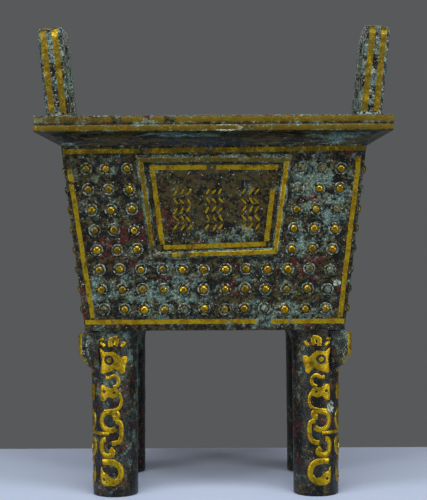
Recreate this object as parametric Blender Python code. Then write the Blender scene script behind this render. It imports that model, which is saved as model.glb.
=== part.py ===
"""A rectangular bronze ding: an open cauldron on four round legs, with two upright ears.

The whole vessel is one casting. The frame is metres with +Z up, the length along X and the
front towards -Y. The origin is on the ground, midway between the four feet.
"""

import math

import bmesh
import bpy
from mathutils import Matrix, Vector

# Body: a hollow box whose four walls lean in towards the base
BODY_LENGTH = 0.1613
BODY_DEPTH = 0.1173
BODY_HEIGHT = 0.0978
BODY_BATTER = 0.0108
WALL = 0.0040
FLOOR = 0.0050
EDGE_ROUNDING = 0.0008

# Neck and rim: a hollow moulding that swells out to a thick flat flange
NECK_HEIGHT = 0.0076
NECK_SEGMENTS = 6
RIM_OVERHANG = 0.01285
RIM_LIP = 0.0028
RIM_THICKNESS = 0.0083

# Legs: round, a little thicker at the top
LEG_LENGTH = 0.0905
LEG_TOP_RADIUS = 0.0128
LEG_FOOT_RADIUS = 0.01225
LEG_INSET = 0.0148
LEG_SIDES = 28

# Fins: one plate on the outer corner of each leg, right under the body
FIN_REACH = 0.0117
FIN_THICKNESS = 0.0030
FIN_HEIGHT = 0.0243
FIN_STRAIGHT = 0.0118
FIN_CORNER = 0.0013

# Ears: two upside-down U shapes that stand on the short ends of the rim and lean out
EAR_RISE = 0.0553
EAR_LENGTH = 0.0360
EAR_THICKNESS = 0.0138
EAR_BAR = 0.0100
EAR_CORNER = 0.0070
EAR_ARCH = 0.0060
EAR_LEAN = math.radians(6.1)
EAR_EDGE_ROUNDING = 0.0012
ARC_STEPS = 5

# Bosses: rows of short studs on every wall
BOSS_BASE_RADIUS = 0.0031
BOSS_TOP_RADIUS = 0.0021
BOSS_HEIGHT = 0.0025
BOSS_PITCH = 0.0108
BOSS_SIDE_MARGIN = 0.0118
BOSS_TOP_MARGIN = 0.0113
BOSS_FOOT_MARGIN = 0.0116
BOSS_SIDES = 8

# Tablets: a raised picture-frame moulding in the upper middle of each wall
TABLET_TOP = 0.0835
TABLET_FOOT = 0.0696
END_TABLET_TOP = 0.0583
END_TABLET_FOOT = 0.0446
TABLET_HEIGHT = 0.0554
TABLET_DROP = 0.0039
FRAME_OUTER_FLANK = 0.0018
FRAME_CREST = 0.0020
FRAME_INNER_FLANK = 0.0012
FRAME_RELIEF = 0.0015
FRAME_EDGE_RELIEF = 0.0004
FRAME_TO_BOSS = 0.0005

# How far a joined form is sunk into the metal that carries it
SINK = 0.0015

# Places that follow from the sizes
BODY_TOP_Z = LEG_LENGTH + BODY_HEIGHT
RIM_UNDERSIDE_Z = BODY_TOP_Z + NECK_HEIGHT
RIM_TOP_Z = RIM_UNDERSIDE_Z + RIM_THICKNESS
HALF_LENGTH = BODY_LENGTH / 2
HALF_DEPTH = BODY_DEPTH / 2
WALL_SLANT = math.hypot(BODY_HEIGHT, BODY_BATTER)
WALL_SLOPE = math.atan2(BODY_BATTER, BODY_HEIGHT)


def clear_scene():
    """Remove every object that the scene holds."""
    for thing in list(bpy.data.objects):
        bpy.data.objects.remove(thing, do_unlink=True)


def bronze_material():
    """Return the dark, patinated bronze of the casting."""
    material = bpy.data.materials.new("aged_bronze")
    material.use_nodes = True
    shader = material.node_tree.nodes["Principled BSDF"]
    shader.inputs["Base Color"].default_value = (0.050, 0.048, 0.026, 1.0)
    shader.inputs["Metallic"].default_value = 0.75
    shader.inputs["Roughness"].default_value = 0.50
    return material


def add_object(name, mesh_data):
    """Turn a bmesh into a named object with smooth round faces and crisp edges."""
    bmesh.ops.recalc_face_normals(mesh_data, faces=mesh_data.faces)
    mesh = bpy.data.meshes.new(name)
    mesh_data.to_mesh(mesh)
    mesh_data.free()
    mesh.shade_smooth()
    mesh.set_sharp_from_angle(angle=math.radians(35))
    thing = bpy.data.objects.new(name, mesh)
    bpy.context.scene.collection.objects.link(thing)
    return thing


def add_helper(name, mesh_data):
    """Add an object that is only joined into another one."""
    helper = add_object(name, mesh_data)
    helper.hide_render = True
    helper.display_type = "WIRE"
    return helper


def unite(target, helper):
    """Join a helper's form into the target."""
    joint = target.modifiers.new("join_" + helper.name, "BOOLEAN")
    joint.operation = "UNION"
    joint.solver = "EXACT"
    joint.object = helper


def round_edges(target, width, segments):
    """Soften the sharp edges of an object."""
    rounding = target.modifiers.new("rounding", "BEVEL")
    rounding.width = width
    rounding.segments = segments
    rounding.limit_method = "ANGLE"
    rounding.angle_limit = math.radians(35)


def bridge(mesh_data, loops, closed):
    """Skin a list of vertex loops, each with the same number of points."""
    pairs = list(zip(loops, loops[1:]))
    if closed:
        pairs.append((loops[-1], loops[0]))
    for lower, upper in pairs:
        count = len(lower)
        for index in range(count):
            after = (index + 1) % count
            mesh_data.faces.new((lower[index], lower[after], upper[after], upper[index]))


def arc(centre, radius, start, end, steps):
    """Return points along an arc in a plane, both ends included."""
    points = []
    for step in range(steps + 1):
        angle = start + (end - start) * step / steps
        points.append((centre[0] + radius * math.cos(angle), centre[1] + radius * math.sin(angle)))
    return points


def rectangle(mesh_data, half_length, half_depth, height):
    """Add the four corners of a level rectangle."""
    corners = ((-1, -1), (1, -1), (1, 1), (-1, 1))
    return [mesh_data.verts.new((x * half_length, y * half_depth, height)) for x, y in corners]


def shell_levels():
    """Return how far the section swells past the top of the body, and its height, going up
    the outside of the wall and down the inside."""
    levels = [(-BODY_BATTER, LEG_LENGTH)]
    swell = RIM_OVERHANG - RIM_LIP
    for step in range(NECK_SEGMENTS + 1):
        turn = math.pi / 2 * step / NECK_SEGMENTS
        levels.append((swell * (1 - math.cos(turn)), BODY_TOP_Z + NECK_HEIGHT * math.sin(turn)))
    levels.append((RIM_OVERHANG, RIM_UNDERSIDE_Z))
    levels.append((RIM_OVERHANG, RIM_TOP_Z))
    levels.append((-WALL, RIM_TOP_Z))
    levels.append((-WALL, BODY_TOP_Z))
    floor_lean = BODY_BATTER * (BODY_HEIGHT - FLOOR) / BODY_HEIGHT
    levels.append((-WALL - floor_lean, LEG_LENGTH + FLOOR))
    return levels


def make_shell():
    """Model the open body with its neck and rim as one hollow box."""
    mesh_data = bmesh.new()
    loops = []
    for swell, height in shell_levels():
        loops.append(rectangle(mesh_data, HALF_LENGTH + swell, HALF_DEPTH + swell, height))
    bridge(mesh_data, loops, closed=False)
    mesh_data.faces.new(loops[0])
    mesh_data.faces.new(loops[-1])
    shell = add_object("vessel", mesh_data)
    round_edges(shell, EDGE_ROUNDING, 2)
    return shell


def leg_axes():
    """Return the four legs' axes, each with the signs of its corner."""
    x = HALF_LENGTH - BODY_BATTER - LEG_INSET
    y = HALF_DEPTH - BODY_BATTER - LEG_INSET
    return [(sx * x, sy * y, sx, sy) for sx in (-1, 1) for sy in (-1, 1)]


def make_legs():
    """Model the four round legs, sunk into the floor of the body."""
    mesh_data = bmesh.new()
    length = LEG_LENGTH + SINK
    for x, y, _, _ in leg_axes():
        bmesh.ops.create_cone(
            mesh_data,
            cap_ends=True,
            segments=LEG_SIDES,
            radius1=LEG_FOOT_RADIUS,
            radius2=LEG_TOP_RADIUS,
            depth=length,
            matrix=Matrix.Translation((x, y, length / 2)),
        )
    return add_helper("legs", mesh_data)


def fin_outline():
    """Return the fin's outline as distances from the leg's axis and heights."""
    edge = LEG_TOP_RADIUS + FIN_REACH
    root = LEG_FOOT_RADIUS / 2
    under = LEG_LENGTH - SINK / 3
    corner = math.sqrt(2) * LEG_INSET
    foot = LEG_LENGTH - FIN_HEIGHT
    knee = LEG_LENGTH - (FIN_STRAIGHT + FIN_HEIGHT) / 2
    return [
        (root, foot),
        (LEG_FOOT_RADIUS - SINK, foot),
        (edge - FIN_REACH * 0.4, knee),
        (edge, under - FIN_STRAIGHT),
        (edge, under - FIN_CORNER),
        (edge - FIN_CORNER, under),
        (corner - SINK / 2, under),
        (corner - 2 * SINK, LEG_LENGTH + SINK),
        (root, LEG_LENGTH + SINK),
    ]


def make_fins():
    """Model the fins, each one an upright plate on the diagonal of its corner."""
    mesh_data = bmesh.new()
    up = Vector((0, 0, 1))
    for x, y, sx, sy in leg_axes():
        out = Vector((sx, sy, 0)).normalized()
        across = Vector((-out.y, out.x, 0)) * FIN_THICKNESS / 2
        sides = []
        for offset in (-across, across):
            foot = Vector((x, y, 0)) + offset
            points = [foot + out * reach + up * height for reach, height in fin_outline()]
            sides.append([mesh_data.verts.new(point) for point in points])
        bridge(mesh_data, sides, closed=False)
        mesh_data.faces.new(sides[0])
        mesh_data.faces.new(sides[1])
    return add_helper("fins", mesh_data)


def ear_outline():
    """Return the U outline of an ear as (sideways, up) points, from one foot round to the other."""
    half = EAR_LENGTH / 2
    gap = half - EAR_BAR
    top = EAR_RISE
    arch_top = EAR_RISE - EAR_BAR
    foot = -2 * SINK
    outer = [(half, foot)]
    outer += arc((half - EAR_CORNER, top - EAR_CORNER), EAR_CORNER, 0, math.pi / 2, ARC_STEPS)
    outer += arc((EAR_CORNER - half, top - EAR_CORNER), EAR_CORNER, math.pi / 2, math.pi, ARC_STEPS)
    outer.append((-half, foot))
    inner = [(-gap, foot)]
    inner += arc((EAR_ARCH - gap, arch_top - EAR_ARCH), EAR_ARCH, math.pi, math.pi / 2, ARC_STEPS)
    inner += arc((gap - EAR_ARCH, arch_top - EAR_ARCH), EAR_ARCH, math.pi / 2, 0, ARC_STEPS)
    inner.append((gap, foot))
    return outer + inner


def make_ear(name, side):
    """Model one ear on the end of the rim, with its outer face flush with the rim's end."""
    mesh_data = bmesh.new()
    base_x = HALF_LENGTH + RIM_OVERHANG - EAR_THICKNESS / 2
    place = Matrix.Translation((side * base_x, 0, RIM_TOP_Z)) @ Matrix.Rotation(side * EAR_LEAN, 4, "Y")
    faces = []
    for x in (-EAR_THICKNESS / 2, EAR_THICKNESS / 2):
        faces.append([mesh_data.verts.new(place @ Vector((x, y, z))) for y, z in ear_outline()])
    bridge(mesh_data, faces, closed=False)
    mesh_data.faces.new(faces[0])
    mesh_data.faces.new(faces[1])
    ear = add_helper(name, mesh_data)
    round_edges(ear, EAR_EDGE_ROUNDING, 2)
    return ear


def wall_frame(angle, half_base):
    """Return the matrix from a wall's own frame to the vessel's. In the wall's frame X runs
    along its foot, Y runs up its slope from the foot, and Z points out of the metal."""
    foot = Matrix.Translation((0, -half_base, LEG_LENGTH))
    tilt = Matrix.Rotation(math.pi / 2 + WALL_SLOPE, 4, "X")
    return Matrix.Rotation(angle, 4, "Z") @ foot @ tilt


def walls():
    """Return each wall's frame, half its length at the top, and its tablet's two widths."""
    end_foot = HALF_LENGTH - BODY_BATTER
    side_foot = HALF_DEPTH - BODY_BATTER
    long_wall = (HALF_LENGTH, TABLET_TOP, TABLET_FOOT)
    end_wall = (HALF_DEPTH, END_TABLET_TOP, END_TABLET_FOOT)
    found = []
    for quarter in range(4):
        angle = quarter * math.pi / 2
        is_long = quarter % 2 == 0
        frame = wall_frame(angle, side_foot if is_long else end_foot)
        found.append((frame,) + (long_wall if is_long else end_wall))
    return found


def half_width_at(half_top, up):
    """Return half a wall's width at a distance up its slope."""
    return half_top - BODY_BATTER * (1 - up / WALL_SLANT)


def spread(first, last, count):
    """Return evenly spaced places from first to last."""
    step = (last - first) / max(count - 1, 1)
    return [first + step * index for index in range(count)]


def boss_places(half_top, tablet_top):
    """Return every boss's place on one wall: whole rows below the tablet, and the ends of
    rows beside it."""
    tablet_foot = WALL_SLANT - TABLET_DROP - TABLET_HEIGHT
    lowest = BOSS_FOOT_MARGIN
    highest = WALL_SLANT - BOSS_TOP_MARGIN
    rows = max(round((highest - lowest) / BOSS_PITCH) + 1, 1)
    lowest_span = 2 * (half_width_at(half_top, lowest) - BOSS_SIDE_MARGIN)
    columns = round(lowest_span / BOSS_PITCH) + 1
    beside = half_width_at(half_top, highest) - BOSS_SIDE_MARGIN - tablet_top / 2
    beside_columns = int((beside - BOSS_BASE_RADIUS - FRAME_TO_BOSS) / BOSS_PITCH) + 1
    places = []
    for up in spread(lowest, highest, rows):
        edge = half_width_at(half_top, up) - BOSS_SIDE_MARGIN
        if up + BOSS_BASE_RADIUS + FRAME_TO_BOSS < tablet_foot:
            places += [(along, up) for along in spread(-edge, edge, columns)]
        else:
            for index in range(beside_columns):
                along = edge - index * BOSS_PITCH
                places += [(-along, up), (along, up)]
    return places


def make_bosses():
    """Model the studs on all four walls."""
    mesh_data = bmesh.new()
    flare = (BOSS_BASE_RADIUS - BOSS_TOP_RADIUS) / BOSS_HEIGHT
    half_step = Matrix.Rotation(math.pi / BOSS_SIDES, 4, "Z")
    for frame, half_top, tablet_top, _ in walls():
        for along, up in boss_places(half_top, tablet_top):
            middle = Matrix.Translation((along, up, (BOSS_HEIGHT - SINK) / 2))
            bmesh.ops.create_cone(
                mesh_data,
                cap_ends=True,
                segments=BOSS_SIDES,
                radius1=BOSS_BASE_RADIUS + flare * SINK,
                radius2=BOSS_TOP_RADIUS,
                depth=BOSS_HEIGHT + SINK,
                matrix=frame @ middle @ half_step,
            )
    return add_helper("bosses", mesh_data)


def frame_corners(tablet_top, tablet_foot, inset):
    """Return the four corners of the tablet's outline, moved in by the inset."""
    lean = (tablet_top - tablet_foot) / 2 / TABLET_HEIGHT
    side_inset = inset * math.hypot(1, lean)
    foot_level = WALL_SLANT - TABLET_DROP - TABLET_HEIGHT
    low = foot_level + inset
    high = foot_level + TABLET_HEIGHT - inset
    low_half = tablet_foot / 2 + lean * inset - side_inset
    high_half = tablet_top / 2 - lean * inset - side_inset
    return [(-low_half, low), (low_half, low), (high_half, high), (-high_half, high)]


def make_frames():
    """Model the raised moulding round each tablet: a sloping flank, a flat crest, and a
    steeper flank down to the field."""
    mesh_data = bmesh.new()
    crest_end = FRAME_OUTER_FLANK + FRAME_CREST
    profile = (
        (0.0, -SINK / 2),
        (0.0, FRAME_EDGE_RELIEF),
        (FRAME_OUTER_FLANK, FRAME_RELIEF),
        (crest_end, FRAME_RELIEF),
        (crest_end + FRAME_INNER_FLANK, -SINK / 2),
    )
    for frame, _, tablet_top, tablet_foot in walls():
        loops = []
        for inset, relief in profile:
            corners = frame_corners(tablet_top, tablet_foot, inset)
            loops.append([mesh_data.verts.new(frame @ Vector((x, y, relief))) for x, y in corners])
        bridge(mesh_data, loops, closed=True)
    return add_helper("tablet_frames", mesh_data)


def make_vessel():
    """Build the whole casting from its forms."""
    vessel = make_shell()
    unite(vessel, make_legs())
    unite(vessel, make_fins())
    unite(vessel, make_ear("left_ear", -1))
    unite(vessel, make_ear("right_ear", 1))
    unite(vessel, make_frames())
    unite(vessel, make_bosses())
    vessel.data.materials.append(bronze_material())


clear_scene()
make_vessel()
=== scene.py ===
# %% [markdown]
# A gilt bronze ding
#
# A ding is a cauldron on legs. This one is rectangular, cast in one piece, with two ears on the
# rim. Its maker laid gold in bands on the rim, walls and ears, on the tops of the bosses, on the
# tablet frames and in scrolls on the legs. The packed model has the true sizes, so it is loaded
# first as a frame, and every finer form is built to stand exactly where the frame's plain form is.

import math
import random

import bmesh
import bpy
from mathutils import Matrix, Vector, noise


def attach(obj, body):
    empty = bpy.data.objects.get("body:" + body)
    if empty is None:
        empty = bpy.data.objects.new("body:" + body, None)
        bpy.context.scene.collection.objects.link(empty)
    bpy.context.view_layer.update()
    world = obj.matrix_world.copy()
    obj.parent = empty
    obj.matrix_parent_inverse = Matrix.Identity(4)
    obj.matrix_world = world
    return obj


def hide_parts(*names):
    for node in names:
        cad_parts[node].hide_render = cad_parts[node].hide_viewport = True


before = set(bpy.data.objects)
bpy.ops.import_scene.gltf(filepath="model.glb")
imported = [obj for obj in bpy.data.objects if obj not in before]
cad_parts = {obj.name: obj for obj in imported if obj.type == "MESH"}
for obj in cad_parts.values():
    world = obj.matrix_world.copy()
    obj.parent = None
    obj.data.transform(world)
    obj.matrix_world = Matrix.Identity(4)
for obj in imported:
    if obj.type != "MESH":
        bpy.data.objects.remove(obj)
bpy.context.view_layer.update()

# %% [markdown]
# Sizes
#
# These are the casting's driving sizes. Anything that follows from them, such as the height of
# the rim's top, is worked out here and never typed again.

# %% Sizes of the casting
MM = 0.001
BODY_LENGTH = 161.3 * MM
BODY_DEPTH = 117.3 * MM
BODY_HEIGHT = 97.8 * MM
BATTER = 10.8 * MM
WALL = 4.0 * MM
FLOOR = 5.0 * MM
NECK_HEIGHT = 7.6 * MM
RIM_OVERHANG = 12.85 * MM
RIM_LIP = 2.8 * MM
RIM_THICKNESS = 8.3 * MM
LEG_LENGTH = 90.5 * MM

BODY_TOP = LEG_LENGTH + BODY_HEIGHT
RIM_BOTTOM = BODY_TOP + NECK_HEIGHT
RIM_TOP = RIM_BOTTOM + RIM_THICKNESS
HALF_LENGTH = BODY_LENGTH / 2
HALF_DEPTH = BODY_DEPTH / 2
SLANT = math.hypot(BODY_HEIGHT, BATTER)
SLOPE = math.atan2(BATTER, BODY_HEIGHT)
LEAN = BATTER / BODY_HEIGHT
RIM_END = HALF_LENGTH + RIM_OVERHANG
RIM_FRONT = HALF_DEPTH + RIM_OVERHANG

# %% [markdown]
# Working by hand in code
#
# Each form starts from a primitive and is shaped in edit mode, as at the keyboard. The
# operators act on whatever is selected, so these helpers clear the selection, start an edit,
# and pick faces, edges or points by where they are.

# %% Helpers for modelling by hand
UP = Vector((0, 0, 1))
SELECT_MODES = {"faces": "FACE", "edges": "EDGE", "verts": "VERT"}


def to_object_mode():
    """Leave edit mode and select nothing."""
    if bpy.context.object and bpy.context.object.mode != "OBJECT":
        bpy.ops.object.mode_set(mode="OBJECT")
    bpy.ops.object.select_all(action="DESELECT")


def make_active(thing):
    """Select one object alone."""
    to_object_mode()
    bpy.context.view_layer.objects.active = thing
    thing.select_set(True)


def edit(thing):
    """Start editing one object, with everything in it selected."""
    make_active(thing)
    bpy.ops.object.mode_set(mode="EDIT")
    bpy.ops.mesh.select_mode(type="FACE")
    bpy.ops.mesh.select_all(action="SELECT")


def unit_form(shape):
    """Add a plane or a cube, one metre across and centred on the origin, and return it."""
    to_object_mode()
    add = bpy.ops.mesh.primitive_plane_add if shape == "plane" else bpy.ops.mesh.primitive_cube_add
    add(size=1, location=(0, 0, 0))
    return bpy.context.object


def pick(thing, kind, test):
    """Select the faces, edges or verts that pass a test, and nothing else."""
    bpy.ops.mesh.select_mode(type=SELECT_MODES[kind])
    bpy.ops.mesh.select_all(action="DESELECT")
    work = bmesh.from_edit_mesh(thing.data)
    for part in getattr(work, kind):
        if test(part):
            part.select_set(True)
    bmesh.update_edit_mesh(thing.data)


def extrude_up(distance):
    """Extrude what is selected straight up, or down where the distance is negative."""
    bpy.ops.mesh.extrude_region_move(TRANSFORM_OT_translate={"value": (0, 0, distance)})


def face_outwards(thing):
    """Weld doubled points and turn every face outwards."""
    edit(thing)
    bpy.ops.mesh.remove_doubles(threshold=1e-6)
    bpy.ops.mesh.normals_make_consistent(inside=False)
    to_object_mode()


def use_modifier(thing, kind, **settings):
    """Add a modifier and apply it at once."""
    make_active(thing)
    modifier = thing.modifiers.new(kind.lower(), kind)
    for name, value in settings.items():
        setattr(modifier, name, value)
    bpy.ops.object.modifier_apply(modifier=modifier.name)


def soften_edges(thing, width, segments, degrees):
    """Bevel every edge that is sharper than an angle."""
    use_modifier(thing, "BEVEL", width=width, segments=segments, limit_method="ANGLE",
                 angle_limit=math.radians(degrees))


def copy_of(pattern):
    """Return a copy of an object with a mesh of its own."""
    copy = pattern.copy()
    copy.data = pattern.data.copy()
    bpy.context.scene.collection.objects.link(copy)
    return copy


def join(name, things):
    """Join several objects into one with a name."""
    to_object_mode()
    for thing in things:
        thing.select_set(True)
    bpy.context.view_layer.objects.active = things[0]
    if len(things) > 1:
        bpy.ops.object.join()
    joined = bpy.context.object
    joined.name = name
    joined.data.name = name
    to_object_mode()
    return joined


print("helpers ready, in mode:", bpy.context.mode)

# %% Helpers for surfaces
def smooth_by_angle(thing, degrees):
    """Shade the round faces smooth and keep the crisp edges."""
    make_active(thing)
    bpy.ops.object.shade_smooth_by_angle(angle=math.radians(degrees))
    to_object_mode()


def bisect_grid(thing, spans):
    """Cut a mesh by evenly spaced planes, each span an (axis, low, high, step)."""
    edit(thing)
    for axis, low, high, step in spans:
        count = max(int((high - low) / step), 1)
        normal = [0.0, 0.0, 0.0]
        normal[axis] = 1.0
        for index in range(count + 1):
            place = [0.0, 0.0, 0.0]
            place[axis] = low + (high - low) * (index + 0.5) / (count + 1)
            bpy.ops.mesh.select_all(action="SELECT")
            bpy.ops.mesh.bisect(plane_co=place, plane_no=normal)
    to_object_mode()


def roughen(thing, amount, size, seed, keep=lambda point: 1.0):
    """Move a mesh's points along their normals by a fractal noise, as corrosion does."""
    mesh = thing.data
    normals = [vertex.normal.copy() for vertex in mesh.vertices]
    shift = Vector((seed, 2.3 * seed, -seed))
    for vertex, normal in zip(mesh.vertices, normals):
        swell = noise.fractal(vertex.co / size + shift, 0.7, 2.1, 4)
        vertex.co += normal * amount * swell * keep(vertex.co)
    mesh.update()


def wall_frame(quarter):
    """Return the matrix from a wall's flat frame to the vessel's: X along the wall's foot, Y up
    its slope and Z out of the metal. Wall 0 is the front, and the others follow round."""
    half_foot = (HALF_DEPTH if quarter % 2 == 0 else HALF_LENGTH) - BATTER
    turn = Matrix.Rotation(quarter * math.pi / 2, 4, "Z")
    foot = Matrix.Translation((0, -half_foot, LEG_LENGTH))
    return turn @ foot @ Matrix.Rotation(math.pi / 2 + SLOPE, 4, "X")


print("front wall's foot in mm:", [round(n / MM, 2) for n in wall_frame(0).translation])

# %% [markdown]
# Shader maths
#
# The finishes are built from noise and from masks, measured in millimetres on the object.
# Written node by node that maths is hard to read, so a small class wraps a socket and lets plus,
# minus, times and divide add the Math nodes. Every other node comes from one method.

# %% A small language for shaders
def rgb(red, green, blue):
    """Turn a display colour, 0 to 255, into the linear colour that a shader reads."""
    linear = []
    for part in (red, green, blue):
        part /= 255
        linear.append(part / 12.92 if part <= 0.04045 else ((part + 0.055) / 1.055) ** 2.4)
    return (*linear, 1.0)


class Flow:
    """A value that flows out of a node, so that shader maths reads like maths."""

    def __init__(self, finish, socket):
        self.finish = finish
        self.socket = socket

    def maths(self, operation, first, second):
        return self.finish.node("ShaderNodeMath", {"operation": operation}, {0: first, 1: second})

    def __add__(self, other):
        return self.maths("ADD", self, other)

    def __sub__(self, other):
        return self.maths("SUBTRACT", self, other)

    def __rsub__(self, other):
        return self.maths("SUBTRACT", other, self)

    def __mul__(self, other):
        return self.maths("MULTIPLY", self, other)

    def __truediv__(self, other):
        return self.maths("DIVIDE", self, other)

    def __abs__(self):
        return self.maths("ABSOLUTE", self, 0.0)

    __radd__ = __add__
    __rmul__ = __mul__


print("white in linear colour:", rgb(255, 255, 255))

# %% One finish
class Finish:
    """One material: its nodes, and the masks and noises that its layers are made from."""

    def __init__(self, name):
        self.material = bpy.data.materials.new(name)
        self.material.use_nodes = True
        self.tree = self.material.node_tree
        self.shader = self.tree.nodes["Principled BSDF"]
        place = self.node("ShaderNodeTexCoord", {}, {}, "Object")
        self.place = self.node(
            "ShaderNodeVectorMath", {"operation": "SCALE"}, {0: place, "Scale": 1 / MM}
        )
        self.x, self.y, self.z = self.parts(self.place)

    def node(self, kind, settings=None, inputs=None, output=0):
        """Add a node, set it up, feed its sockets, and return one of its outputs."""
        made = self.tree.nodes.new(kind)
        for name, value in (settings or {}).items():
            setattr(made, name, value)
        for name, value in (inputs or {}).items():
            self.feed(made.inputs[name], value)
        return Flow(self, made.outputs[output])

    def feed(self, socket, value):
        """Link a flow to a socket, or set the socket's value."""
        if isinstance(value, Flow):
            self.tree.links.new(value.socket, socket)
        else:
            socket.default_value = value

    def parts(self, vector):
        """Split a vector into its three numbers."""
        split = self.node("ShaderNodeSeparateXYZ", {}, {0: vector})
        return [Flow(self, socket) for socket in split.socket.node.outputs]

    def noise(self, size, detail=4.0, roughness=0.6, seed=0.0, stretch=(1, 1, 1)):
        """Return a noise round a half, with lumps about `size` millimetres across."""
        place = self.node(
            "ShaderNodeVectorMath", {"operation": "MULTIPLY_ADD"},
            {0: self.place, 1: stretch, 2: (seed, 7 * seed, -3 * seed)},
        )
        return self.node("ShaderNodeTexNoise", {}, {
            "Vector": place, "Scale": 1 / size, "Detail": detail, "Roughness": roughness,
        })

    def rise(self, value, low, high):
        """Return 0 below `low`, 1 above `high`, and a smooth ramp between."""
        return self.node("ShaderNodeMapRange", {"interpolation_type": "SMOOTHSTEP"}, {
            "Value": value, "From Min": low, "From Max": high,
        })

    def band(self, value, low, high, soft=0.2):
        """Return 1 between two values and 0 outside, with soft ends."""
        over = self.rise(value, high - soft, high + soft)
        return self.rise(value, low - soft, low + soft) * (1 - over)

    def losses(self, value, places):
        """Return how much is lost at several places, each a (low, high, softness, share)."""
        return self.most(*[self.band(value, *span) * share for *span, share in places])

    def most(self, *values):
        """Return the largest of several values."""
        largest = values[0]
        for value in values[1:]:
            largest = largest.maths("MAXIMUM", largest, value)
        return largest

    def mix(self, factor, first, second):
        """Mix two colours."""
        ends = {0: factor, 6: first, 7: second}
        return self.node("ShaderNodeMix", {"data_type": "RGBA"}, ends, output=2)

    def blob(self, across, up, middle, radius):
        """Return a patch round a place that fades towards its edge."""
        dx = (across - middle[0]) / radius[0]
        dy = (up - middle[1]) / radius[1]
        return 1 - self.rise(dx * dx + dy * dy, 0.2, 1.6)

    def blobs(self, across, up, places):
        """Return several patches together, each an (x, z, radius x, radius z)."""
        return self.most(*[self.blob(across, up, (x, z), (rx, rz)) for x, z, rx, rz in places])


print("ways to make a mask or colour:", [name for name in vars(Finish) if name[0] != "_"])

# %% [markdown]
# The bronze and its patina
#
# Buried bronze turns nearly black where it is sound. Over that lie an olive bloom, blue-grey and
# green verdigris in a fine speckle, maroon stains where the red oxide shows, and chalky grains
# of earth. Each layer is a mask: a coarse noise says where the layer is common, and a fine one
# breaks it into grains of about a millimetre. The crusts stand a little proud, so the same masks
# feed the bump.

# %% Colours and ranges of the layers
BLACK_BRONZE = rgb(14, 14, 10)
SLATE_BRONZE = rgb(32, 37, 38)
OLIVE_BRONZE = rgb(60, 53, 24)
MOSS = rgb(72, 78, 36)
DEEP_VERDIGRIS = rgb(34, 62, 52)
BLUE_VERDIGRIS = rgb(62, 86, 84)
PALE_VERDIGRIS = rgb(116, 134, 122)
MAROON = rgb(64, 26, 20)
CHALK = rgb(172, 176, 164)
GOLD = rgb(156, 132, 20)
DEEP_GOLD = rgb(126, 88, 8)
SOILED_GOLD = rgb(66, 56, 14)
SHEEN = 0.22
BRONZE_ROUGHNESS = 0.27
GOLD_ROUGHNESS = 0.36
BRONZE_METAL = 0.25
GOLD_METAL = 0.78
BUMP_DEPTH = 1.6 * MM

# How much a full layer hides what lies under it
COVER = 0.85

# Where the sum of a layer's noises turns from bare to full
SLATE_RANGE = (0.55, 0.67)
OLIVE_RANGE = (0.60, 0.72)
RED_RANGE = (0.76, 0.90)
CRUST_RANGE = (0.865, 1.01)
BLUE_RANGE = (0.46, 0.54)
MOSS_RANGE = (0.50, 0.58)
PALE_RANGE = (0.91, 1.02)
SPECK_RANGE = (0.93, 1.0)
CHALK_RANGE = (0.45, 0.75)
WEAR_RANGE = (0.66, 0.74)
DIRT_RANGE = (0.68, 0.84)
AMBER_RANGE = (0.48, 0.62)
print("gold in linear colour:", [round(c, 3) for c in GOLD])

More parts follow.
